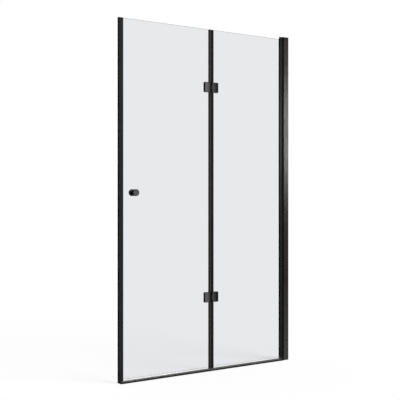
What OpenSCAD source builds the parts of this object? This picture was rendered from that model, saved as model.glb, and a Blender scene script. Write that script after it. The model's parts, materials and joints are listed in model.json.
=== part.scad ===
// Bi-fold shower door: two glass panels, a wall profile with pivots, a fold line with two hinges.
// X runs along the door from the closing edge to the wall, Y into the shower, Z up.
// The origin is on the tray, halfway along the door and in the middle of the glass.

/* [Overall] */
// Width of the door, from the closing edge to the wall
door_w = 1200; // [900:1:1500]
// Height from the tray to the top of the top pivot block
door_h = 2000; // [1700:1:2200]
// Width of the leading panel, from the closing edge to the fold axis
leading_w = 618; // [450:1:700]

/* [Glass] */
// Thickness of the glass
glass_t = 6; // [5:0.5:8]
// Gap from the bottom of the pivot stile up to the bottom edge of the glass
glass_lift = 3.5; // [2:0.5:10]
// Thickness of the rubber between the glass and the profiles
gasket_t = 1; // [0.6:0.1:1.4]

/* [Sill] */
// Depth of the sill across the door
sill_d = 40; // [34:1:50]
// Height of the sill under the glass
sill_h = 12; // [10:0.5:14]
// Height of the upright faces of the sill
sill_edge_h = 8; // [5:0.5:9]
// Width of the flat on top of the sill
sill_flat_w = 12; // [10:0.5:20]
// Thickness of the sill's end cap
sill_cap_t = 3; // [2:0.5:5]
// Distance from the closing edge to the sill's end
sill_inset = 7; // [0:0.5:12]

/* [Wall profile] */
// Width of the wall profile, seen from the front
wall_w = 37.5; // [34:0.5:50]
// Depth of the wall profile
wall_d = 32; // [30:0.5:34]
// Wall thickness of the wall profile
wall_t = 1.8; // [1.4:0.1:2.2]
// Corner radius of the profiles
profile_r = 1; // [0.5:0.1:1.2]
// Radius of the wall screw holes
wall_hole_r = 2.75; // [2:0.05:3.5]
// Distance between the lowest and the highest wall screw
wall_holes_outer = 1600; // [1200:10:1640]
// Distance between the two middle wall screws
wall_holes_inner = 600; // [300:10:1000]

/* [Jamb profile] */
// Wall thickness of the jamb profile, which slides in the wall profile
jamb_t = 1.6; // [1.2:0.1:2]
// Length of the jamb profile's legs
jamb_leg = 28; // [24:0.5:30]
// How far the jamb profile stands out of the wall profile
jamb_reveal = 1.5; // [0.5:0.5:3]
// Sliding gap on each side of the jamb profile
slide_gap = 0.3; // [0.2:0.05:0.4]
// Radius of the side screws that lock the jamb profile
jamb_screw_r = 1.9; // [1.5:0.1:2.2]
// Height of the first and depth of the last side screw from the ends
jamb_screw_inset = 150; // [80:5:300]
// Thickness of the rubber strip on the jamb
jamb_seal_t = 1; // [0.6:0.1:1.5]

/* [Pivots] */
// Height of the top pivot block
top_block_h = 10; // [8:0.5:14]
// Radius of the pivot pins
pivot_pin_r = 4; // [3:0.1:4.5]
// Length of the pivot pins outside their plugs
pivot_pin_len = 7.5; // [5:0.5:7.5]
// Wall thickness of the pivot bushes
bush_t = 2; // [1:0.1:2.5]
// Thickness of the thrust washer
thrust_t = 1; // [0.8:0.1:2]
// Radius of the thrust washer
thrust_r = 7.5; // [6.5:0.1:7.8]
// Free height between the top plug and the top pivot block
pivot_play = 0.5; // [0.3:0.1:0.8]
// Thickness of the plugs in the pivot stile
plug_t = 3.5; // [3:0.1:5]
// Radius of the small screws in the plugs and pivot blocks
small_screw_r = 1.5; // [1.2:0.1:1.6]

/* [Pivot stile] */
// Radius of the stile's round nose, half of its depth
stile_r = 8; // [7.5:0.1:8.3]
// Length of the stile's flat sides, from its glass side to the pivot axis
stile_flat = 11.5; // [8.5:0.1:13]
// Depth of the glass slot in the stile
stile_bite = 11.5; // [10:0.1:12]
// Gap between the stile's nose and the jamb
nose_gap = 2; // [1.6:0.1:3]

/* [Closing profile] */
// Width of the closing profile, seen from the front
closing_w = 27.5; // [24:0.5:30]
// Depth of the closing profile
closing_d = 16; // [15.5:0.5:18]
// Depth of the glass slot in the closing profile
closing_bite = 17; // [14:0.5:18]
// Width of the seal strip along the closing edge
edge_seal_w = 9; // [6:0.5:10]
// Thickness of the seal strip along the closing edge
edge_seal_t = 3.5; // [2:0.5:5]
// Thickness of the closing profile's end caps
closing_cap_t = 1.5; // [1:0.1:3]

/* [Fold seals] */
// Depth of the fold seals
fold_seal_d = 14; // [11:0.5:15]
// Length of the seals' grip on the glass
fold_seal_bite = 9; // [5:0.5:10]
// Distance from the glass edges to the fold axis
fold_edge = 6; // [5.8:0.1:8]
// Thickness of the seals' web along the glass edge
fold_web_t = 1.2; // [0.8:0.1:1.4]
// Wall thickness of the bulb
bulb_t = 1.2; // [0.8:0.1:1.8]

/* [Hinges] */
// Height of the lower hinge's middle above the tray
lower_hinge_z = 428; // [200:1:600]
// Distance from the top of the glass down to the upper hinge's middle
upper_hinge_drop = 336; // [200:1:600]
// Height of a hinge
hinge_h = 59; // [52:1:90]
// Width of one hinge leaf, from the fold axis to its outer edge
leaf_w = 48; // [42:0.5:60]
// Thickness of the hinge plates
plate_t = 4.5; // [4:0.1:6]
// Corner radius of the hinge plates
plate_r = 4; // [2:0.5:8]
// Chamfer around the hinge plates' faces
plate_chamfer = 0.8; // [0.3:0.1:1]
// Thickness of the gaskets under the hinge plates
hinge_gasket_t = 1; // [0.6:0.1:1.5]
// Radius of the hinge knuckles
knuckle_r = 5; // [4.5:0.1:5.2]
// Height of the middle knuckle
knuckle_h = 22; // [16:0.5:24]
// Radius of the hinge pins
hinge_pin_r = 2.5; // [1.5:0.1:3]
// Distance from the fold axis to the inner edge of a front plate
front_gap = 5.75; // [5.7:0.05:7]
// Distance from the fold axis to the inner edge of a back plate
back_gap = 0.75; // [0.5:0.05:2]
// Distance from the fold axis to the hinge screws
hinge_screw_x = 30; // [26:0.5:32]
// Distance between the two screws of a leaf
hinge_screw_pitch = 32; // [28:0.5:34]
// Radius of the hinge screws
hinge_screw_r = 3; // [2.5:0.1:3.2]
// Radius of the hinge screws' heads
hinge_head_r = 5.5; // [5:0.1:6]
// Radius of the holes in the glass at the hinges
hinge_hole_r = 6.6; // [6.2:0.1:8]

/* [Knob] */
// Distance from the closing edge to the middle of the knob
knob_x = 98.5; // [60:0.5:150]
// Height of the knob above the tray
knob_z = 1036; // [800:1:1200]
// Radius of the knob's head
knob_r = 19; // [15:0.5:25]
// Thickness of the knob's head
knob_head_t = 15; // [10:0.5:20]
// Radius of the knob's neck
knob_neck_r = 11; // [8:0.5:12]
// Length of the knob's neck
knob_neck_l = 9; // [3:0.5:15]
// Radius of the round edge of the knob's face
knob_edge_r = 2.5; // [1:0.1:3]
// Thickness of the washers under the knob
knob_washer_t = 1; // [0.5:0.1:2]
// Radius of the stud through the knob
stud_r = 3; // [2.5:0.1:4]
// Depth of the stud in each half of the knob
stud_bite = 10; // [6:0.5:12]
// Radius of the hole in the glass at the knob
knob_hole_r = 6; // [5.5:0.1:8]

/* [Drip seals] */
// Height of the drip seals' grip on the glass
drip_grip = 10; // [6:0.5:15]
// Wall thickness of the drip seals
drip_t = 1.2; // [0.8:0.1:1.5]
// Gap between the drip seal's inner lip and the jamb while the door stands open
drip_jamb_gap = 0.8; // [0.5:0.1:3]
// Gap between the drip seals and the sill
drip_gap = 0.4; // [0.3:0.1:0.8]

/* [Hidden] */
$fn = 64;
eps = 0.01;                 // overlap of a cutting solid past the face it opens
pin_play = 0.05;            // running fit of the pins
hole_play = 0.2;            // clearance of screws in plain holes
sleeve_play = 0.1;          // clearance of sleeves in the glass
panel_gap = 1;              // free height of the closing profile over the sill
seat_gap = 0.3;             // gap between solids of different bodies
jamb_screw_n = 4;           // number of side screws
jamb_screw_in = 17;         // from the jamb's face to its side screws
jamb_screw_tip = 4;         // length of a side screw past the jamb's leg
jamb_head_w = 1.6;          // width of a side screw's head around its shank
jamb_head_h = 2;
screw_cap_w = 2;            // width of a cover cap around the screw's head
screw_cap_h = 3;
drive_w = 0.8;              // width of the cross in the screws' heads
jamb_lip = 0.6;             // where the jamb seal's lip starts, as a share of the nose's radius
channel_in = 2.4;           // from the jamb's inner face to its screw channels
channel_side = 4.9;         // from the jamb's outer side to its screw channels
channel_t = 1.6;            // wall thickness of a screw channel
channel_rib = 2;            // width of the rib under a screw channel
channel_screw_l = 16;       // length of a block screw in its channel
small_head_h = 1.6;         // height of a small countersunk head
peg_wall = 0.75;            // metal beside the plug screws and cap pegs
plug_screw_in = 6.5;        // from the stile's glass side to the plug screws
plug_screw_l = 12;
cap_peg_in = 8;             // from the closing profile's glass side to the cap pegs
cap_peg_l = 8;
edge_v_w = 3;               // width and depth of the V in the closing edge's strip
edge_v_d = 1.2;
seal_corner_r = 1;          // corner radius of the fold seals
knuckle_play = 0.4;         // gap between knuckles, along the pin
knuckle_root = 1;           // overlap of a knuckle's root with its plate
head_h = 2.5;               // height of a hinge screw's countersunk head
screw_tip = 1.5;            // metal left in front of a hinge screw's tip
hex_r = 2.1;                // size of the hexagon socket in a hinge screw
pad_inset = 1;              // how far a hinge gasket stays inside its plate
knob_back_r = 1.5;          // round edge behind the knob's head
drip_end_gap = 0.5;         // gap between a drip seal and the profiles beside it

x_close = -door_w / 2;
x_wall = door_w / 2;
x_wall_edge = x_wall - wall_w;
x_jamb = x_wall_edge - jamb_reveal;
x_pivot = x_jamb - nose_gap - stile_r;
x_stile = x_pivot - stile_flat;
x_fold = x_close + leading_w;
x_closing_in = x_close + closing_w;
x_leading_glass = x_closing_in - closing_bite + gasket_t;
x_pivot_glass = x_stile + stile_bite - gasket_t;
x_sill_start = x_close + sill_inset;
x_sill_end = x_stile - seat_gap;
x_knob = x_close + knob_x;
x_jamb_screw = x_jamb + jamb_screw_in;
x_channel = x_jamb + jamb_t + channel_in;
drip_lip_y = x_jamb - x_pivot - drip_jamb_gap;

glass_y = glass_t / 2;
slot_y = glass_y + gasket_t;
leaf_y = glass_y + hinge_gasket_t;
plate_y = leaf_y + plate_t;
wall_in_y = wall_d / 2 - wall_t;
jamb_y = wall_in_y - slide_gap;
channel_y = jamb_y - channel_side;
wall_out_y = wall_d / 2;

z_profile_top = door_h - top_block_h;
z_stile_low = sill_h + thrust_t + plug_t;
z_glass_low = z_stile_low + glass_lift;
z_glass_top = z_profile_top - pivot_play - plug_t;
z_panel_low = sill_h + panel_gap;
z_upper_hinge = z_glass_top - upper_hinge_drop;
z_wall_mid = door_h / 2;

bush_r = pivot_pin_r + pin_play + bush_t;
bush_depth = pivot_pin_len + pivot_play;
jamb_head_r = jamb_screw_r + jamb_head_w;
screw_cap_r = jamb_head_r + screw_cap_w;
channel_r = small_screw_r + channel_t;
plug_screw_y = (stile_r + slot_y) / 2;
plug_screw_r = (stile_r - slot_y) / 2 - peg_wall;
plug_screw_x = x_stile + plug_screw_in;
cap_peg_y = (closing_d / 2 + slot_y) / 2;
cap_peg_r = (closing_d / 2 - slot_y) / 2 - peg_wall;
cap_peg_x = x_closing_in - cap_peg_in;
bulb_r = fold_edge - fold_web_t - seat_gap;
black = [0.10, 0.10, 0.10];
hinge_black = [0.16, 0.16, 0.16];
rubber_black = [0.05, 0.05, 0.05];
clear = [0.85, 0.90, 0.90, 0.35];
steel = [0.70, 0.70, 0.72];
nylon = [0.90, 0.90, 0.88];

// Extrusions along the three axes; the 2-D shape is drawn in (x, y), (x, z) or (y, z)
module along_z(z0, z1) translate([0, 0, z0]) linear_extrude(z1 - z0) children();
module along_y(y0, y1) translate([0, y1, 0]) rotate([90, 0, 0]) linear_extrude(y1 - y0) children();
module along_x(x0, x1) translate([x0, 0, 0]) rotate([90, 0, 90]) linear_extrude(x1 - x0) children();

module rect(x0, x1, y0, y1) translate([x0, y0]) square([x1 - x0, y1 - y0]);
module box(x0, x1, y0, y1, z0, z1) translate([x0, y0, z0]) cube([x1 - x0, y1 - y0, z1 - z0]);
module rod_z(x, y, z0, z1, r) translate([x, y, z0]) cylinder(h = z1 - z0, r = r);
module rod_y(x, z, y0, y1, r) translate([x, y0, z]) rotate([-90, 0, 0]) cylinder(h = y1 - y0, r = r);
module rod_x(y, z, x0, x1, r) translate([x0, y, z]) rotate([0, 90, 0]) cylinder(h = x1 - x0, r = r);
module tube_z(x, y, z0, z1, r_out, r_in) difference() {
    rod_z(x, y, z0, z1, r_out);
    rod_z(x, y, z0 - eps, z1 + eps, r_in);
}
module tube_y(x, z, y0, y1, r_out, r_in) difference() {
    rod_y(x, z, y0, y1, r_out);
    rod_y(x, z, y0 - eps, y1 + eps, r_in);
}
module rounded_rect(x0, x1, y0, y1, r) {
    rect(x0 + r, x1 - r, y0, y1);
    rect(x0, x1, y0 + r, y1 - r);
    for (x = [x0 + r, x1 - r], y = [y0 + r, y1 - r]) translate([x, y]) circle(r);
}

// Frame on the wall and the tray
function wall_screw_heights() = [for (d = [-wall_holes_outer, -wall_holes_inner,
    wall_holes_inner, wall_holes_outer]) z_wall_mid + d / 2];
function jamb_screw_heights() = [for (i = [0:jamb_screw_n - 1])
    jamb_screw_inset + i * (z_profile_top - 2 * jamb_screw_inset) / (jamb_screw_n - 1)];

module wall_profile() color(black) difference() {
    along_z(0, z_profile_top) difference() {
        rounded_rect(x_wall_edge, x_wall, -wall_out_y, wall_out_y, profile_r);
        rect(x_wall_edge - eps, x_wall - wall_t, -wall_in_y, wall_in_y);
    }
    for (z = wall_screw_heights()) rod_x(0, z, x_wall - wall_t - eps, x_wall + eps, wall_hole_r);
    for (z = jamb_screw_heights())
        rod_y(x_jamb_screw, z, wall_in_y - eps, wall_out_y + eps, jamb_screw_r + hole_play);
}

module jamb_profile() color(black) difference() {
    along_z(sill_h, z_profile_top) difference() {
        union() {
            difference() {
                rect(x_jamb, x_jamb + jamb_leg, -jamb_y, jamb_y);
                rect(x_jamb + jamb_t, x_jamb + jamb_leg + eps, -(jamb_y - jamb_t), jamb_y - jamb_t);
            }
            for (side = [-1, 1]) {
                translate([x_channel, side * channel_y]) circle(channel_r);
                translate([x_jamb + jamb_t / 2, side * channel_y - channel_rib / 2])
                    square([x_channel - x_jamb - jamb_t / 2, channel_rib]);
            }
        }
        for (side = [-1, 1]) translate([x_channel, side * channel_y]) circle(small_screw_r);
    }
    for (z = jamb_screw_heights()) rod_y(x_jamb_screw, z, jamb_y - jamb_t - eps, jamb_y + eps, jamb_screw_r);
}

module jamb_screws() color(steel) for (z = jamb_screw_heights()) {
    rod_y(x_jamb_screw, z, jamb_y - jamb_t - jamb_screw_tip, wall_out_y + eps, jamb_screw_r);
    difference() {
        rod_y(x_jamb_screw, z, wall_out_y, wall_out_y + jamb_head_h, jamb_head_r);
        along_y(wall_out_y + jamb_head_h / 2, wall_out_y + jamb_head_h + eps) translate([x_jamb_screw, z]) {
            square([jamb_head_r, drive_w], center = true);
            square([drive_w, jamb_head_r], center = true);
        }
    }
}

module jamb_screw_caps() color(black) for (z = jamb_screw_heights()) difference() {
    rod_y(x_jamb_screw, z, wall_out_y, wall_out_y + screw_cap_h, screw_cap_r);
    rod_y(x_jamb_screw, z, wall_out_y - eps, wall_out_y + jamb_head_h + hole_play, jamb_head_r + hole_play);
}

// The front lip closes the view between the stile's nose and the jamb
module jamb_seal() color(rubber_black) along_z(z_stile_low, z_glass_top) {
    rect(x_jamb - jamb_seal_t, x_jamb, -stile_r, stile_r / 2);
    difference() {
        rect(x_pivot, x_jamb, -stile_r, -stile_r * jamb_lip);
        translate([x_pivot, 0]) circle(stile_r + seat_gap);
    }
}

module pivot_head_outline() {
    translate([x_stile + stile_r, 0]) circle(stile_r);
    polygon([
        [x_stile + stile_r, -stile_r], [x_pivot, -stile_r], [x_jamb, -wall_out_y], [x_wall, -wall_out_y],
        [x_wall, wall_out_y], [x_jamb, wall_out_y], [x_pivot, stile_r], [x_stile + stile_r, stile_r]
    ]);
}

module top_pivot_block() color(black) difference() {
    along_z(z_profile_top, door_h) pivot_head_outline();
    rod_z(x_pivot, 0, z_profile_top - eps, z_profile_top + bush_depth, bush_r);
    for (side = [-1, 1]) {
        rod_z(x_channel, side * channel_y, z_profile_top - eps, door_h, small_screw_r + hole_play);
        countersink(x_channel, side * channel_y, door_h, 1);
    }
}

// Cone for a small screw's head, opening at height z; up is 1 for a head that faces up
module countersink(x, y, z, up) translate([x, y, z]) mirror([0, 0, up > 0 ? 1 : 0])
    translate([0, 0, -eps]) cylinder(h = small_head_h + eps, r1 = small_screw_r * 2, r2 = small_screw_r);

module sill_section() polygon([
    [-sill_d / 2, 0], [sill_d / 2, 0], [sill_d / 2, sill_edge_h], [sill_flat_w / 2, sill_h],
    [-sill_flat_w / 2, sill_h], [-sill_d / 2, sill_edge_h]
]);

module threshold_sill() color(black) along_x(x_sill_start + sill_cap_t, x_sill_end) sill_section();
module sill_end_cap() color(black) along_x(x_sill_start, x_sill_start + sill_cap_t) sill_section();

module bottom_pivot_block() color(black) difference() {
    union() {
        along_x(x_sill_end, x_wall_edge) sill_section();
        box(x_wall_edge - eps, x_wall - wall_t, -jamb_y, jamb_y, 0, sill_h);
    }
    rod_z(x_pivot, 0, sill_h - bush_depth, sill_h + eps, bush_r);
    for (side = [-1, 1]) {
        rod_z(x_channel, side * channel_y, -eps, sill_h + eps, small_screw_r + hole_play);
        countersink(x_channel, side * channel_y, 0, 0);
    }
}

module top_bush() color(nylon)
    tube_z(x_pivot, 0, z_profile_top, z_profile_top + bush_depth, bush_r, pivot_pin_r + pin_play);
module bottom_bush() color(nylon)
    tube_z(x_pivot, 0, sill_h - bush_depth, sill_h, bush_r, pivot_pin_r + pin_play);
module thrust_washer() color(nylon)
    tube_z(x_pivot, 0, sill_h, sill_h + thrust_t, thrust_r, pivot_pin_r + pin_play);

// Small countersunk screw that starts at height z and points down, or up when its head faces down
module small_screw(x, y, z, up, length) translate([x, y, z]) mirror([0, 0, up > 0 ? 1 : 0]) difference() {
    union() {
        cylinder(h = small_head_h, r1 = small_screw_r * 2, r2 = small_screw_r);
        cylinder(h = length, r = small_screw_r);
    }
    translate([0, 0, -eps]) linear_extrude(small_head_h / 2) {
        square([small_screw_r * 2, drive_w], center = true);
        square([drive_w, small_screw_r * 2], center = true);
    }
}

module pivot_block_screws() color(steel) for (side = [-1, 1]) {
    small_screw(x_channel, side * channel_y, door_h, 1, top_block_h + channel_screw_l);
    small_screw(x_channel, side * channel_y, 0, 0, sill_h + channel_screw_l);
}

// Pivot panel
module stile_outline() {
    rect(x_stile, x_pivot, -stile_r, stile_r);
    translate([x_pivot, 0]) circle(stile_r);
}

module pivot_stile() color(black) difference() {
    along_z(z_stile_low, z_glass_top) difference() {
        stile_outline();
        rect(x_stile - eps, x_stile + stile_bite, -slot_y, slot_y);
    }
    for (side = [-1, 1]) {
        rod_z(plug_screw_x, side * plug_screw_y, z_stile_low - eps, z_stile_low + plug_screw_l, plug_screw_r);
        rod_z(plug_screw_x, side * plug_screw_y, z_glass_top - plug_screw_l, z_glass_top + eps, plug_screw_r);
    }
}

// Rubber channel on the edge of the glass; dir is the side that its web is on
module edge_gasket(x_open, bite, dir, z0, z1) color(rubber_black) along_z(z0, z1) difference() {
    rect(min(x_open, x_open + dir * bite), max(x_open, x_open + dir * bite), -slot_y, slot_y);
    rect(min(x_open - dir * eps, x_open + dir * (bite - gasket_t)),
        max(x_open - dir * eps, x_open + dir * (bite - gasket_t)), -glass_y, glass_y);
}
module stile_gasket() edge_gasket(x_stile, stile_bite, 1, z_stile_low, z_glass_top);

// Plug with its pivot pin, drawn at z = 0 with the pin pointing up
module stile_plug() color(black) difference() {
    union() {
        along_z(0, plug_t) stile_outline();
        rod_z(x_pivot, 0, plug_t - eps, plug_t + pivot_pin_len, pivot_pin_r);
    }
    for (side = [-1, 1]) translate([plug_screw_x, side * plug_screw_y, 0]) {
        translate([0, 0, -eps]) cylinder(h = plug_t + 2 * eps, r = plug_screw_r);
        translate([0, 0, plug_t - plug_screw_r])
            cylinder(h = plug_screw_r + eps, r1 = plug_screw_r, r2 = plug_screw_r * 2);
    }
}
module stile_top_plug() translate([0, 0, z_glass_top]) stile_plug();
module stile_bottom_plug() translate([0, 0, z_stile_low]) mirror([0, 0, 1]) stile_plug();

module plug_screw() color(steel) translate([plug_screw_x, 0, 0]) for (side = [-1, 1])
    translate([0, side * plug_screw_y, 0]) {
        translate([0, 0, plug_t - plug_screw_r])
            cylinder(h = plug_screw_r, r1 = plug_screw_r, r2 = plug_screw_r * 2);
        translate([0, 0, -plug_screw_l]) cylinder(h = plug_t + plug_screw_l, r = plug_screw_r);
    }
module plug_screws() {
    translate([0, 0, z_glass_top]) plug_screw();
    translate([0, 0, z_stile_low]) mirror([0, 0, 1]) plug_screw();
}

// Places of the hinge screws of one panel: side is 1 for the pivot panel and -1 for the leading panel
function hinge_points(side) = [for (z = [lower_hinge_z, z_upper_hinge], d = [-0.5, 0.5])
    [x_fold + side * hinge_screw_x, z + d * hinge_screw_pitch]];

module pivot_glass() color(clear) difference() {
    box(x_fold + fold_edge, x_pivot_glass, -glass_y, glass_y, z_glass_low, z_glass_top);
    for (p = hinge_points(1)) rod_y(p[0], p[1], -glass_y - eps, glass_y + eps, hinge_hole_r);
}
module leading_glass() color(clear) difference() {
    box(x_leading_glass, x_fold - fold_edge, -glass_y, glass_y, z_glass_low, z_glass_top);
    for (p = hinge_points(-1)) rod_y(p[0], p[1], -glass_y - eps, glass_y + eps, hinge_hole_r);
    rod_y(x_knob, knob_z, -glass_y - eps, glass_y + eps, knob_hole_r);
}

// Fold line: a clip on each glass edge, with a bulb on the leading one, cut at the hinges
module fold_clip() difference() {
    rounded_rect(fold_edge - fold_web_t, fold_edge + fold_seal_bite,
        -fold_seal_d / 2, fold_seal_d / 2, seal_corner_r);
    rect(fold_edge, fold_edge + fold_seal_bite + eps, -glass_y, glass_y);
}
module fold_bulb() difference() {
    union() {
        circle(bulb_r);
        rect(-(fold_edge - fold_web_t / 2), -bulb_r + bulb_t, -bulb_r / 2, bulb_r / 2);
    }
    circle(bulb_r - bulb_t);
}
module fold_segments() {
    ends = [z_panel_low, lower_hinge_z, z_upper_hinge, z_glass_top];
    half = hinge_h / 2 + seat_gap;
    for (i = [0:2]) along_z(ends[i] + (i > 0 ? half : 0), ends[i + 1] - (i < 2 ? half : 0)) children();
}
module pivot_fold_seal() color(rubber_black) fold_segments() translate([x_fold, 0]) fold_clip();
module leading_fold_seal() color(rubber_black) fold_segments() translate([x_fold, 0]) {
    mirror([1, 0]) fold_clip();
    fold_bulb();
}

// Drip seal on the lower edge of a glass, with an upright outer fin and an inner lip
module drip_seal(x0, x1) color(clear) along_x(x0, x1) {
    outer = glass_y + drip_t;
    fin_low = sill_h + drip_gap;
    web_low = z_glass_low - drip_t;
    top = z_glass_low + drip_grip;
    polygon([
        [-outer, top], [-outer, fin_low], [-glass_y, fin_low], [-glass_y, web_low], [glass_y, web_low],
        [drip_lip_y - drip_t, fin_low + drip_t / 2], [drip_lip_y, fin_low + drip_t], [outer, z_glass_low],
        [outer, top], [glass_y, top], [glass_y, z_glass_low], [-glass_y, z_glass_low], [-glass_y, top]
    ]);
}
module leading_drip_seal()
    drip_seal(x_closing_in + drip_end_gap, x_fold - fold_edge - fold_seal_bite - drip_end_gap);
module pivot_drip_seal()
    drip_seal(x_fold + fold_edge + fold_seal_bite + drip_end_gap, x_stile - drip_end_gap);

// Hinges, drawn for the pivot side at the fold axis and mirrored for the leading side
module on_hinge(z, side) translate([x_fold, 0, z]) mirror([side < 0 ? 1 : 0, 0, 0]) children();

// Chamfered plate from u0 to the leaf's outer edge, its back on the gasket and its face at plate_y
module plate(u0) intersection() {
    half = hinge_h / 2;
    c = plate_chamfer;
    along_y(leaf_y, plate_y) {
        rect(u0, leaf_w - plate_r, -half, half);
        rect(u0, leaf_w, -half + plate_r, half - plate_r);
        for (z = [-half + plate_r, half - plate_r]) translate([leaf_w - plate_r, z]) circle(plate_r);
    }
    along_z(-half, half) polygon([[u0, leaf_y], [leaf_w, leaf_y], [leaf_w, plate_y - c],
        [leaf_w - c, plate_y], [u0, plate_y]]);
    along_x(u0, leaf_w) polygon([[leaf_y, -half], [plate_y - c, -half], [plate_y, -half + c],
        [plate_y, half - c], [plate_y - c, half], [leaf_y, half]]);
}

module front_plate() mirror([0, 1, 0]) plate(front_gap);

module knuckle(z0, z1, bore) difference() {
    union() {
        rod_z(0, -plate_y, z0, z1, knuckle_r);
        box(0, front_gap + knuckle_root, -plate_y, -leaf_y, z0, z1);
    }
    rod_z(0, -plate_y, z0 - eps, z1 + eps, bore);
}

module blind_holes() for (d = [-0.5, 0.5])
    rod_y(hinge_screw_x, d * hinge_screw_pitch, -plate_y + screw_tip, -leaf_y + eps, hinge_screw_r);

module pivot_leaf(z) color(hinge_black) on_hinge(z, 1) difference() {
    union() {
        front_plate();
        knuckle(-knuckle_h / 2, knuckle_h / 2, hinge_pin_r);
    }
    blind_holes();
}
module leading_leaf(z) color(hinge_black) on_hinge(z, -1) difference() {
    union() {
        front_plate();
        knuckle(knuckle_h / 2 + knuckle_play, hinge_h / 2, hinge_pin_r + pin_play);
        knuckle(-hinge_h / 2, -knuckle_h / 2 - knuckle_play, hinge_pin_r + pin_play);
    }
    blind_holes();
}

module back_plate(z, side) color(hinge_black) on_hinge(z, side) difference() {
    plate(back_gap);
    for (d = [-0.5, 0.5]) {
        rod_y(hinge_screw_x, d * hinge_screw_pitch, leaf_y - eps, plate_y + eps, hinge_screw_r + hole_play);
        translate([hinge_screw_x, plate_y - head_h, d * hinge_screw_pitch]) rotate([-90, 0, 0])
            cylinder(h = head_h + eps, r1 = hinge_screw_r, r2 = hinge_head_r);
    }
}

module hinge_pin(z) color(steel) rod_z(x_fold, -plate_y, z - hinge_h / 2, z + hinge_h / 2, hinge_pin_r);

module hinge_gaskets(side) color(rubber_black) for (z = [lower_hinge_z, z_upper_hinge]) on_hinge(z, side)
    for (flip = [0, 1]) mirror([0, flip, 0]) difference() {
        box(fold_edge + pad_inset, leaf_w - pad_inset, glass_y, leaf_y,
            -hinge_h / 2 + pad_inset, hinge_h / 2 - pad_inset);
        for (d = [-0.5, 0.5])
            rod_y(hinge_screw_x, d * hinge_screw_pitch, glass_y - eps, leaf_y + eps,
                hinge_screw_r + hole_play);
    }

module hinge_sleeves(side) color(nylon) for (p = hinge_points(side))
    tube_y(p[0], p[1], -glass_y, glass_y, hinge_hole_r - sleeve_play, hinge_screw_r + hole_play);

module hinge_screws(side) color(steel) for (p = hinge_points(side)) difference() {
    union() {
        rod_y(p[0], p[1], -plate_y + screw_tip, plate_y - head_h + eps, hinge_screw_r);
        translate([p[0], plate_y - head_h, p[1]]) rotate([-90, 0, 0])
            cylinder(h = head_h, r1 = hinge_screw_r, r2 = hinge_head_r);
    }
    translate([p[0], plate_y - head_h, p[1]]) rotate([-90, 0, 0])
        cylinder(h = head_h + eps, r = hex_r, $fn = 6);
}

module upper_pivot_leaf() pivot_leaf(z_upper_hinge);
module lower_pivot_leaf() pivot_leaf(lower_hinge_z);
module upper_pivot_back_plate() back_plate(z_upper_hinge, 1);
module lower_pivot_back_plate() back_plate(lower_hinge_z, 1);
module upper_hinge_pin() hinge_pin(z_upper_hinge);
module lower_hinge_pin() hinge_pin(lower_hinge_z);
module pivot_hinge_gaskets() hinge_gaskets(1);
module pivot_hinge_sleeves() hinge_sleeves(1);
module pivot_hinge_screws() hinge_screws(1);
module upper_leading_leaf() leading_leaf(z_upper_hinge);
module lower_leading_leaf() leading_leaf(lower_hinge_z);
module upper_leading_back_plate() back_plate(z_upper_hinge, -1);
module lower_leading_back_plate() back_plate(lower_hinge_z, -1);
module leading_hinge_gaskets() hinge_gaskets(-1);
module leading_hinge_sleeves() hinge_sleeves(-1);
module leading_hinge_screws() hinge_screws(-1);

// Closing profile on the free edge of the leading panel
module closing_outline() difference() {
    rounded_rect(x_close, x_closing_in, -closing_d / 2, closing_d / 2, profile_r);
    rect(x_closing_in - closing_bite, x_closing_in + eps, -slot_y, slot_y);
}
module edge_groove() rect(x_close - eps, x_close + edge_seal_t, -edge_seal_w / 2, edge_seal_w / 2);

module closing_profile() color(black) difference() {
    along_z(z_panel_low + closing_cap_t, z_glass_top - closing_cap_t) difference() {
        closing_outline();
        edge_groove();
    }
    for (side = [-1, 1]) {
        rod_z(cap_peg_x, side * cap_peg_y, z_panel_low, z_panel_low + closing_cap_t + cap_peg_l, cap_peg_r);
        rod_z(cap_peg_x, side * cap_peg_y, z_glass_top - closing_cap_t - cap_peg_l, z_glass_top, cap_peg_r);
    }
}
module closing_gasket() edge_gasket(x_closing_in, closing_bite, -1, z_panel_low, z_glass_top);

// Soft strip in the groove along the closing edge, with a shallow V along its face
module closing_edge_seal() color(rubber_black)
    along_z(z_panel_low + closing_cap_t, z_glass_top - closing_cap_t) polygon([
        [x_close, -edge_seal_w / 2], [x_close + edge_seal_t, -edge_seal_w / 2],
        [x_close + edge_seal_t, edge_seal_w / 2], [x_close, edge_seal_w / 2],
        [x_close, edge_v_w / 2], [x_close + edge_v_d, 0], [x_close, -edge_v_w / 2]
    ]);

module closing_cap() color(black) {
    along_z(0, closing_cap_t) closing_outline();
    for (side = [-1, 1]) rod_z(cap_peg_x, side * cap_peg_y, -cap_peg_l, eps, cap_peg_r);
}
module closing_top_cap() translate([0, 0, z_glass_top - closing_cap_t]) closing_cap();
module closing_bottom_cap() translate([0, 0, z_panel_low + closing_cap_t]) mirror([0, 0, 1]) closing_cap();

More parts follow.
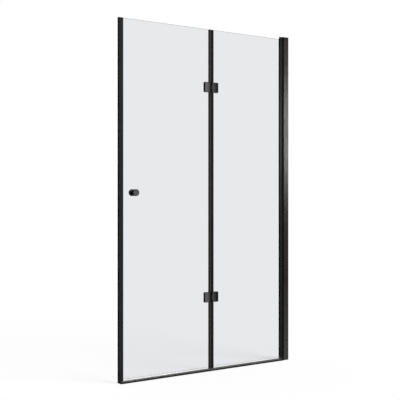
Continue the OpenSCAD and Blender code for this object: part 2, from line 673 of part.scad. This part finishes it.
// Knob: one half on each side of the glass, on a common stud
module knob_profile() {
    top = knob_neck_l + knob_head_t;
    rect(0, knob_neck_r, 0, knob_neck_l + eps);
    rect(0, knob_r - knob_back_r, knob_neck_l, top - knob_edge_r);
    rect(0, knob_r, knob_neck_l + knob_back_r, top - knob_edge_r);
    rect(0, knob_r - knob_edge_r, knob_neck_l, top);
    translate([knob_r - knob_edge_r, top - knob_edge_r]) circle(knob_edge_r);
    translate([knob_r - knob_back_r, knob_neck_l + knob_back_r]) circle(knob_back_r);
}
module knob_half() color(hinge_black) translate([x_knob, glass_y + knob_washer_t, knob_z]) rotate([-90, 0, 0])
    difference() {
        rotate_extrude() knob_profile();
        translate([0, 0, -eps]) cylinder(h = stud_bite + eps, r = stud_r);
    }
module knob_inner() knob_half();
module knob_outer() mirror([0, 1, 0]) knob_half();
module knob_stud() color(steel) {
    reach = glass_y + knob_washer_t + stud_bite;
    rod_y(x_knob, knob_z, -reach, reach, stud_r);
}
module knob_washers() color(rubber_black) for (flip = [0, 1]) mirror([0, flip, 0])
    tube_y(x_knob, knob_z, glass_y, glass_y + knob_washer_t, knob_neck_r, stud_r + hole_play);
module knob_sleeve() color(nylon)
    tube_y(x_knob, knob_z, -glass_y, glass_y, knob_hole_r - sleeve_play, stud_r + hole_play);

wall_profile();
jamb_profile();
top_pivot_block();
bottom_pivot_block();
top_bush();
bottom_bush();
thrust_washer();
pivot_block_screws();
jamb_screws();
jamb_screw_caps();
jamb_seal();
threshold_sill();
sill_end_cap();
pivot_glass();
pivot_stile();
stile_gasket();
stile_top_plug();
stile_bottom_plug();
plug_screws();
pivot_fold_seal();
pivot_drip_seal();
upper_pivot_leaf();
lower_pivot_leaf();
upper_pivot_back_plate();
lower_pivot_back_plate();
upper_hinge_pin();
lower_hinge_pin();
pivot_hinge_gaskets();
pivot_hinge_sleeves();
pivot_hinge_screws();
leading_glass();
closing_profile();
closing_gasket();
closing_edge_seal();
closing_top_cap();
closing_bottom_cap();
leading_fold_seal();
leading_drip_seal();
upper_leading_leaf();
lower_leading_leaf();
upper_leading_back_plate();
lower_leading_back_plate();
leading_hinge_gaskets();
leading_hinge_sleeves();
leading_hinge_screws();
knob_outer();
knob_inner();
knob_stud();
knob_washers();
knob_sleeve();
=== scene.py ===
import json
import math

import bmesh
import bpy
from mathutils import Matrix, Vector

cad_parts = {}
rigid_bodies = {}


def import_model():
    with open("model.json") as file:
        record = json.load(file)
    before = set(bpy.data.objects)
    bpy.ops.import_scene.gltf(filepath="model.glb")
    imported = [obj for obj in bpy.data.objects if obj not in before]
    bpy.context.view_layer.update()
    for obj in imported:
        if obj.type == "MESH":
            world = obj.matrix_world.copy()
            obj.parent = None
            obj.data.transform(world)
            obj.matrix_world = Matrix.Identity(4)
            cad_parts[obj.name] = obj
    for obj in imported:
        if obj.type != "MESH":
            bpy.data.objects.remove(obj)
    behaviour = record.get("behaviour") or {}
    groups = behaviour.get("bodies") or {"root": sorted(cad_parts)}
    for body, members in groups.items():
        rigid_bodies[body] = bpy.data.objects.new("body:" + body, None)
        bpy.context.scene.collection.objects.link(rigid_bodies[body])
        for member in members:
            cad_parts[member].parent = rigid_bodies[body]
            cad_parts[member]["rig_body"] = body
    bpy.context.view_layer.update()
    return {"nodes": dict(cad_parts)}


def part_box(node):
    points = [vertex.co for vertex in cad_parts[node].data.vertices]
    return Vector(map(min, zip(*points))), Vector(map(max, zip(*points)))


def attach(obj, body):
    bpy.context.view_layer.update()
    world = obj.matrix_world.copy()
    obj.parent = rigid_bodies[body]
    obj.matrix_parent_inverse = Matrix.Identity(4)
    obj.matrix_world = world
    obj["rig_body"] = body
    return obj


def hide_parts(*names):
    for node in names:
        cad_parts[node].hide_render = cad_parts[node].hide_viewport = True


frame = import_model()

nodes = frame["nodes"]

MM = 0.001
PURE_WHITE = (1, 1, 1)

# Camera, fitted to the photograph's edges: metres, degrees, millimetres and shares of the picture
CAMERA_PLACE = (-2.8553, -3.9977, 1.0251)
CAMERA_AZIMUTH = 34.968
LENS_MM = 75.93
SENSOR_MM = 36.0
SHIFT_UP = -0.0135

# White room: the light that matt surfaces get from it, and the white that camera and mirrors see
AMBIENT = 0.1
SEEN_WHITE = 1.0

# Floor: width in metres, grey, and a glow of its own that makes it as white as the room
FLOOR_SIZE = 60.0
FLOOR_GREY = (0.85, 0.85, 0.85)
FLOOR_ROUGHNESS = 0.8
FLOOR_LIFT = 0.772

# Sun, which lights all but the panes: direction, strength and the angle that it fills, in degrees
SUN_AIM = (-0.35, 0.8, -0.55)
SUN_STRENGTH = 1.0
SUN_DEGREES = 40

# Softboxes, which light all but the panes and the floor: place and target, size and watts
SOFTBOXES = {
    "right_softbox": ((3.7, -4.0, 1.74), (0.58, 0, 1.38), (0.6, 1.2), 56),
    "front_panel": ((1.6, -5.0, 2.2), (0, 0, 1.0), (3.0, 3.0), 127),
    "overhead_panel": ((2.3, -0.8, 3.4), (0, 0, 0), (1.5, 1.5), 80),
    "back_panel": ((1.5, 5.0, 2.2), (0, 0, 1.0), (3.0, 3.0), 110),
}

# Noise: the values that nearly all of it lies between, and its detail in clouds and in grain
NOISE_LOW = 0.3
NOISE_HIGH = 0.7
CLOUD_DETAIL = 5.0
GRAIN_DETAIL = 2.0

# Painted shade: the black painted on the narrow sides, and the places along X between which the fittings
# darken with painted shade, in metres
PAINTED_SHADE_BLACK = (0.003, 0.003, 0.003)
LEADING_LEAF_SHADE = (-0.012, 0.01)
PIVOT_LEAF_SHADE = (0.032, 0.056)
KNOB_SHADE = (-0.496, -0.474)

# Painted reflection of the floor: a lighter colour on the wall profile's foot, and the heights between
# which it fades out
PAINTED_FLOOR_REFLECTION = (0.038, 0.036, 0.031)
FLOOR_REFLECTION_HEIGHTS = (0.0, 0.5)

# Nodes that have a finish of their own instead of their slot's; the hinges' plates have one per panel
OWN_FINISH = {
    "wall_profile": "wall_coat",
    "pivot_stile": "stile_coat",
    "threshold_sill": "sill_coat",
    "leading_fold_seal": "grey_rubber",
    "knob_outer": "knob_fitting",
    **{f"{level}_{panel}_{part}": f"{panel}_fitting" for level in ("upper", "lower")
       for panel in ("leading", "pivot") for part in ("leaf", "back_plate")},
}

# Glass panes: width of the ground edge, and the hair's breadth that keeps a pane off the rubber
ARRIS = 2.6 * MM
PANE_EASE = 0.02 * MM

# A pane's mesh: the distance to weld, and the angles that count as flat and as sharp
WELD = 0.001 * MM
FLAT_DEGREES = 1
SHARP_DEGREES = 60

# A pane's finishes, the part of a normal along Y that makes a face glass, and along Z an underside
PANE_FINISHES = ("glass", "ground_edge", "underside_highlight_edge")
FACE_ON = 0.99
DOWNWARD = -0.5

# Numbers of the colour sockets of a Mix node, where several sockets share a name
MIX_FIRST = 6
MIX_SECOND = 7
MIX_RESULT = 2


class Nodes:
    """Short calls for building a node tree."""

    def __init__(self, tree):
        self.tree = tree
        tree.nodes.clear()

    def add(self, kind, settings=None, **inputs):
        """Adds a node; an underscore in an input's name stands for a space."""
        node = self.tree.nodes.new(kind)
        for name, value in (settings or {}).items():
            setattr(node, name, value)
        for name, value in inputs.items():
            self.set(node, name.replace("_", " "), value)
        return node

    def set(self, node, key, value):
        """Sets an input, by name or number, to a value, or links it to another node's output."""
        socket = node.inputs[key]
        if isinstance(value, bpy.types.NodeSocket):
            self.tree.links.new(value, socket)
        elif socket.type == "RGBA":
            socket.default_value = (*value, 1)
        else:
            socket.default_value = value

    def maths(self, operation, first, second=0.0):
        node = self.add("ShaderNodeMath", {"operation": operation})
        self.set(node, 0, first)
        self.set(node, 1, second)
        return node.outputs[0]

    def mixed_shaders(self, factor, first, second):
        """The first shader where the factor is 0, the second where it is 1."""
        mix = self.add("ShaderNodeMixShader", Fac=factor)
        self.set(mix, 1, first.outputs[0])
        self.set(mix, 2, second.outputs[0])
        return mix

    def finish(self, shader, kind="ShaderNodeOutputMaterial"):
        self.add(kind, Surface=shader.outputs[0])


def link(obj):
    bpy.context.scene.collection.objects.link(obj)
    return obj


def new_material(name):
    material = bpy.data.materials.new(name)
    material.use_nodes = True
    return material, Nodes(material.node_tree)


def seen_directly(t):
    """1 for camera, mirror and glass rays, 0 for the rays that light matt surfaces."""
    path = t.add("ShaderNodeLightPath").outputs
    mirrored = t.maths("MAXIMUM", path["Is Camera Ray"], path["Is Glossy Ray"])
    seen = t.maths("MAXIMUM", mirrored, path["Is Transmission Ray"])
    no_matt_surface_yet = t.maths("LESS_THAN", path["Diffuse Depth"], 0.5)
    return t.maths("MULTIPLY", seen, no_matt_surface_yet)


def noise(t, scale, detail=3.0, stretch=(1, 1, 1)):
    """Noise in the object's own space; a stretch below 1 draws it out along that axis."""
    place = t.add("ShaderNodeTexCoord").outputs["Object"]
    if stretch != (1, 1, 1):
        place = t.add("ShaderNodeMapping", Vector=place, Scale=stretch).outputs["Vector"]
    return t.add("ShaderNodeTexNoise", Vector=place, Scale=scale, Detail=detail).outputs["Fac"]


def ranged(t, value, low, high, start=NOISE_LOW, end=NOISE_HIGH):
    """Turns a value that runs from start to end into one that runs from low to high."""
    return t.add("ShaderNodeMapRange", Value=value, From_Min=start, From_Max=end,
                 To_Min=low, To_Max=high).outputs["Result"]


def mixed(t, factor, first, second):
    """Blends two colours, each a triple or another node's output."""
    mix = t.add("ShaderNodeMix", {"data_type": "RGBA"}, Factor=factor)
    t.set(mix, MIX_FIRST, first)
    t.set(mix, MIX_SECOND, second)
    return mix.outputs[MIX_RESULT]


def coordinate(t, space, axis):
    """One axis of the object's own space, or of the normal in it."""
    vector = t.add("ShaderNodeTexCoord").outputs[space]
    return t.add("ShaderNodeSeparateXYZ", Vector=vector).outputs[axis]


def facing(t, axis, start, end):
    """1 on faces square to an axis of the object, 0 on those along it."""
    return ranged(t, t.maths("ABSOLUTE", coordinate(t, "Normal", axis)), 0, 1, start, end)


def fading(t, axis, start, end):
    """1 at the first place along an axis of the object, in metres, falling to 0 at the second."""
    return ranged(t, coordinate(t, "Object", axis), 1, 0, start, end)


def bumped(t, height, distance):
    return t.add("ShaderNodeBump", Height=height, Distance=distance).outputs["Normal"]


def coated(name, dark, light, rough, ior, grain, relief, cloud=9.0, metallic=0.0,
           shade_on_sides=None, axis="Y", turn=(0.75, 0.98), shade_fade=None, foot_reflection=None):
    """A coated, moulded or rubbed surface: cloudy colour and roughness, and a fine grain in relief.

    With a colour of painted shade for the sides, faces square to the axis keep the clouds' colours and the
    others have it. Turn is how far the normal has to lie along the axis, from 0 to 1, for the change to
    begin and to be complete.
    With a fade, the square faces darken to that painted shade too, from the first place along X to the
    second.
    With a foot colour, a painted reflection of the floor, the colour changes to it towards the floor.
    """
    material, t = new_material(name)
    clouds = noise(t, cloud, CLOUD_DETAIL)
    fine = noise(t, grain, GRAIN_DETAIL)
    colour = mixed(t, ranged(t, clouds, 0, 1), dark, light)
    # painted shade: faces that aren't square to the axis get the dark side colour instead of the coat's
    if shade_on_sides:
        unshaded_faces = facing(t, axis, *turn)
        # painted shade: the square faces darken along X as well
        if shade_fade:
            unshaded_faces = t.maths("MULTIPLY", unshaded_faces, fading(t, "X", *shade_fade))
        colour = mixed(t, unshaded_faces, shade_on_sides, colour)
    # painted reflection of the floor: lighter towards the foot
    if foot_reflection:
        colour = mixed(t, fading(t, "Z", *FLOOR_REFLECTION_HEIGHTS), colour, foot_reflection)
    t.finish(t.add("ShaderNodeBsdfPrincipled", Base_Color=colour, Roughness=ranged(t, clouds, *rough),
                   Normal=bumped(t, fine, relief), Metallic=metallic, IOR=ior))
    return material


def clear_glass(name, tint, rough, shadow, ior):
    """Clear glass that lets lamps through, with faint upright streaks in its polish."""
    material, t = new_material(name)
    streaks = noise(t, scale=3.0, detail=4.0, stretch=(1, 1, 0.3))
    glass = t.add("ShaderNodeBsdfPrincipled", Base_Color=tint, Roughness=ranged(t, streaks, *rough),
                  IOR=ior, Transmission_Weight=1.0)
    through = t.add("ShaderNodeBsdfTransparent", Color=shadow)
    is_shadow = t.add("ShaderNodeLightPath").outputs["Is Shadow Ray"]
    t.finish(t.mixed_shaders(is_shadow, glass, through))
    return material


def clear_film(name, colour, alpha, rough, ior, grain, relief, cloud):
    """Thin clear plastic that bends nothing: what is behind shows through a faint sheen."""
    material, t = new_material(name)
    t.finish(t.add("ShaderNodeBsdfPrincipled", Base_Color=colour, Alpha=alpha, IOR=ior,
                   Roughness=ranged(t, noise(t, cloud), *rough), Normal=bumped(t, noise(t, grain), relief)))
    return material


def make_materials():
    """Makes the finish of every slot, and those of single nodes and of the panes' edges."""
    rubber = dict(rough=(0.5, 0.65), ior=1.06, grain=700.0, relief=0.04 * MM)
    # the fittings' narrow sides get the black of painted shade
    fitting = dict(rough=(0.28, 0.4), ior=1.1, grain=1100.0, relief=0.02 * MM, cloud=60.0,
                   shade_on_sides=PAINTED_SHADE_BLACK)
    return {
        # matt black coat, with painted shade on its narrow sides
        "black_coat": coated(
            "matt_black_coat", (0.0198, 0.0198, 0.02), (0.0248, 0.0248, 0.025),
            rough=(0.42, 0.5), ior=1.05, grain=900.0, relief=0.03 * MM, shade_on_sides=PAINTED_SHADE_BLACK),
        # the stile's coat, with painted shade on its sides and rounded nose
        "stile_coat": coated(
            "eased_black_coat", (0.011, 0.011, 0.0112), (0.015, 0.015, 0.0152),
            rough=(0.22, 0.28), ior=1.12, grain=900.0, relief=0.02 * MM, shade_on_sides=PAINTED_SHADE_BLACK,
            turn=(0.15, 0.6)),
        # satin coat, with a painted reflection of the floor on its foot
        "wall_coat": coated(
            "satin_black_coat", (0.0065, 0.0045, 0.0015), (0.009, 0.0065, 0.0025),
            rough=(0.19, 0.23), ior=1.25, grain=900.0, relief=0.02 * MM, foot_reflection=PAINTED_FLOOR_REFLECTION),
        # painted highlight: the sill's faces square to Z are light grey, and painted shade makes its front
        # and ends black
        "sill_coat": coated(
            "sill_top_highlight_coat", (0.07, 0.07, 0.071), (0.11, 0.11, 0.111),
            rough=(0.25, 0.35), ior=1.15, grain=900.0, relief=0.03 * MM, cloud=25.0,
            shade_on_sides=PAINTED_SHADE_BLACK, axis="Z"),
        "black_plastic": coated(
            "black_moulding", (0.012, 0.012, 0.012), (0.017, 0.017, 0.017),
            rough=(0.45, 0.55), ior=1.08, grain=1400.0, relief=0.03 * MM),
        "black_rubber": coated(
            "black_rubber", (0.012, 0.012, 0.012), (0.016, 0.016, 0.016), **rubber),
        # dark grey rubber, with painted shade on its narrow sides
        "grey_rubber": coated(
            "dark_grey_rubber", (0.034, 0.034, 0.034), (0.042, 0.042, 0.042), **rubber,
            shade_on_sides=PAINTED_SHADE_BLACK),
        "black_fitting": coated(
            "dark_satin_metal", (0.09, 0.09, 0.092), (0.112, 0.112, 0.114), **fitting),
        # painted shade darkens the leading plates towards the knuckle
        "leading_fitting": coated(
            "leading_satin_metal", (0.09, 0.09, 0.092), (0.112, 0.112, 0.114), **fitting,
            shade_fade=LEADING_LEAF_SHADE),
        # a darker copy of the leading fitting: painted shade on the pivot panel's plates, which also darken
        # towards their far ends
        "pivot_fitting": coated(
            "pivot_shaded_satin_metal", (0.04, 0.04, 0.041), (0.055, 0.055, 0.056), **fitting,
            shade_fade=PIVOT_LEAF_SHADE),
        # painted shade darkens the knob's face towards its right side
        "knob_fitting": coated(
            "knob_satin_metal", (0.085, 0.085, 0.087), (0.105, 0.105, 0.107), **fitting,
            shade_fade=KNOB_SHADE),
        "steel": coated(
            "stainless_steel", (0.5, 0.5, 0.51), (0.62, 0.62, 0.63),
            rough=(0.22, 0.34), ior=1.5, grain=1600.0, relief=0.01 * MM, cloud=80.0, metallic=1.0),
        "nylon": coated(
            "white_nylon", (0.72, 0.72, 0.69), (0.78, 0.78, 0.75),
            rough=(0.4, 0.5), ior=1.5, grain=500.0, relief=0.02 * MM, cloud=50.0),
        "glass": clear_glass(
            "safety_glass", tint=(0.806, 0.813, 0.832), rough=(0.0, 0.0035),
            shadow=(0.97, 0.973, 0.976), ior=1.15),
        "ground_edge": coated(
            "ground_glass_edge", (0.007, 0.01, 0.009), (0.014, 0.018, 0.016),
            rough=(0.4, 0.5), ior=1.1, grain=1500.0, relief=0.03 * MM),
        # painted highlight: the panes' downward edges are light grey
        "underside_highlight_edge": coated(
            "glass_edge_painted_highlight", (0.5, 0.53, 0.52), (0.56, 0.6, 0.58),
            rough=(0.2, 0.3), ior=1.1, grain=1500.0, relief=0.01 * MM),
        "clear_seal": clear_film(
            "clear_seal_strip", (0.8, 0.81, 0.82), alpha=0.03,
            rough=(0.35, 0.45), ior=1.1, grain=300.0, relief=0.005 * MM, cloud=40.0),
    }


def dress_nodes(materials):
    """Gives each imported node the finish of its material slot, or one of its own."""
    for name, obj in nodes.items():
        slot = obj.material_slots[0]
        slot.material = materials[OWN_FINISH.get(name, slot.material.name)]


def pane_finish(normal):
    """Glass on a pane's two faces, a ground edge round them, and underneath a light grey edge that is a
    painted highlight.
    """
    if abs(normal.y) > FACE_ON:
        return "glass"
    return "underside_highlight_edge" if normal.z < DOWNWARD else "ground_edge"


def put_in_order(elements, key):
    """Sorts a mesh's vertices or faces, which the mesh tools leave in another order on each run."""
    for index, element in enumerate(sorted(elements, key=key)):
        element.index = index
    elements.sort()
    elements.index_update()


def glass_pane(node, materials):
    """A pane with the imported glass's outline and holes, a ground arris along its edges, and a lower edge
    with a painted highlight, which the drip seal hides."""
    packed = nodes[node]
    name = node + "_pane"
    middle = sum(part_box(node), Vector()).y / 2
    bm = bmesh.new()
    bm.from_mesh(packed.data)
    bmesh.ops.remove_doubles(bm, verts=bm.verts, dist=WELD)
    for v in bm.verts:
        v.co.y += PANE_EASE if v.co.y < middle else -PANE_EASE
    bmesh.ops.dissolve_limit(bm, angle_limit=math.radians(FLAT_DEGREES), verts=bm.verts, edges=bm.edges)
    sharp = [e for e in bm.edges if e.is_manifold and e.calc_face_angle() > math.radians(SHARP_DEGREES)]
    bmesh.ops.bevel(bm, geom=sharp, offset=ARRIS, segments=1, affect="EDGES", clamp_overlap=True)
    bmesh.ops.triangulate(bm, faces=bm.faces)
    put_in_order(bm.verts, lambda vertex: tuple(vertex.co))
    put_in_order(bm.faces, lambda face: sorted(vertex.index for vertex in face.verts))
    for face in bm.faces:
        face.material_index = PANE_FINISHES.index(pane_finish(face.normal))
    mesh = bpy.data.meshes.new(name)
    bm.to_mesh(mesh)
    bm.free()
    for finish in PANE_FINISHES:
        mesh.materials.append(materials[finish])
    pane = link(bpy.data.objects.new(name, mesh))
    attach(pane, packed["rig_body"])
    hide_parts(node)
    return pane


def add_camera():
    data = bpy.data.cameras.new("camera")
    data.lens, data.sensor_width, data.shift_y = LENS_MM, SENSOR_MM, SHIFT_UP
    camera = link(bpy.data.objects.new("camera", data))
    camera.location = CAMERA_PLACE
    camera.rotation_euler = (math.radians(90), 0, -math.radians(CAMERA_AZIMUTH))
    bpy.context.scene.camera = camera


def add_world():
    world = bpy.data.worlds.new("studio")
    world.use_nodes = True
    t = Nodes(world.node_tree)
    soft = t.add("ShaderNodeBackground", Color=PURE_WHITE, Strength=AMBIENT)
    white = t.add("ShaderNodeBackground", Color=PURE_WHITE, Strength=SEEN_WHITE)
    t.finish(t.mixed_shaders(seen_directly(t), soft, white), "ShaderNodeOutputWorld")
    bpy.context.scene.world = world


def add_floor():
    mesh = bpy.data.meshes.new("floor")
    half = FLOOR_SIZE / 2
    corners = [(-half, -half, 0), (half, -half, 0), (half, half, 0), (-half, half, 0)]
    mesh.from_pydata(corners, [], [(0, 1, 2, 3)])
    floor = link(bpy.data.objects.new("floor", mesh))
    material, t = new_material("pale_floor")
    pale = t.add("ShaderNodeBsdfPrincipled", Base_Color=FLOOR_GREY, Roughness=FLOOR_ROUGHNESS,
                 Specular_IOR_Level=0.0)
    lift = t.add("ShaderNodeEmission", Color=PURE_WHITE,
                 Strength=t.maths("MULTIPLY", seen_directly(t), FLOOR_LIFT))
    both = t.add("ShaderNodeAddShader")
    t.set(both, 0, pale.outputs[0])
    t.set(both, 1, lift.outputs[0])
    t.finish(both)
    mesh.materials.append(material)
    return floor


def keep_off(lamp, spared):
    """Lights all but the spared objects, so that the lamp doesn't show as a patch on them."""
    group = bpy.data.collections.new(lamp.name + "_spares")
    for obj in spared:
        group.objects.link(obj)
    for member in group.collection_objects:
        member.light_linking.link_state = "EXCLUDE"
    lamp.light_linking.receiver_collection = group


def add_lamp(name, kind, energy, aim, spared):
    """Adds a lamp that lights surfaces, but isn't met by the rays that they mirror or let through."""
    data = bpy.data.lights.new(name, kind)
    data.energy = energy
    data.cycles.use_multiple_importance_sampling = False
    lamp = link(bpy.data.objects.new(name, data))
    lamp.rotation_euler = aim.to_track_quat("-Z", "Y").to_euler()
    keep_off(lamp, spared)
    return lamp


def add_sun(name, spared):
    sun = add_lamp(name, "SUN", SUN_STRENGTH, Vector(SUN_AIM), spared)
    sun.data.angle = math.radians(SUN_DEGREES)


def add_softbox(name, place, target, size, power, spared):
    box = add_lamp(name, "AREA", power, Vector(target) - Vector(place), spared)
    box.location = place
    box.data.shape = "RECTANGLE"
    box.data.size, box.data.size_y = size


bpy.context.scene.view_settings.view_transform = "Standard"
add_camera()
add_world()
floor = add_floor()
finishes = make_materials()
dress_nodes(finishes)
panes = [glass_pane(node, finishes) for node in ("leading_glass", "pivot_glass")]
add_sun("key", panes)
for box_name, (place, target, size, power) in SOFTBOXES.items():
    add_softbox(box_name, place, target, size, power, panes + [floor])
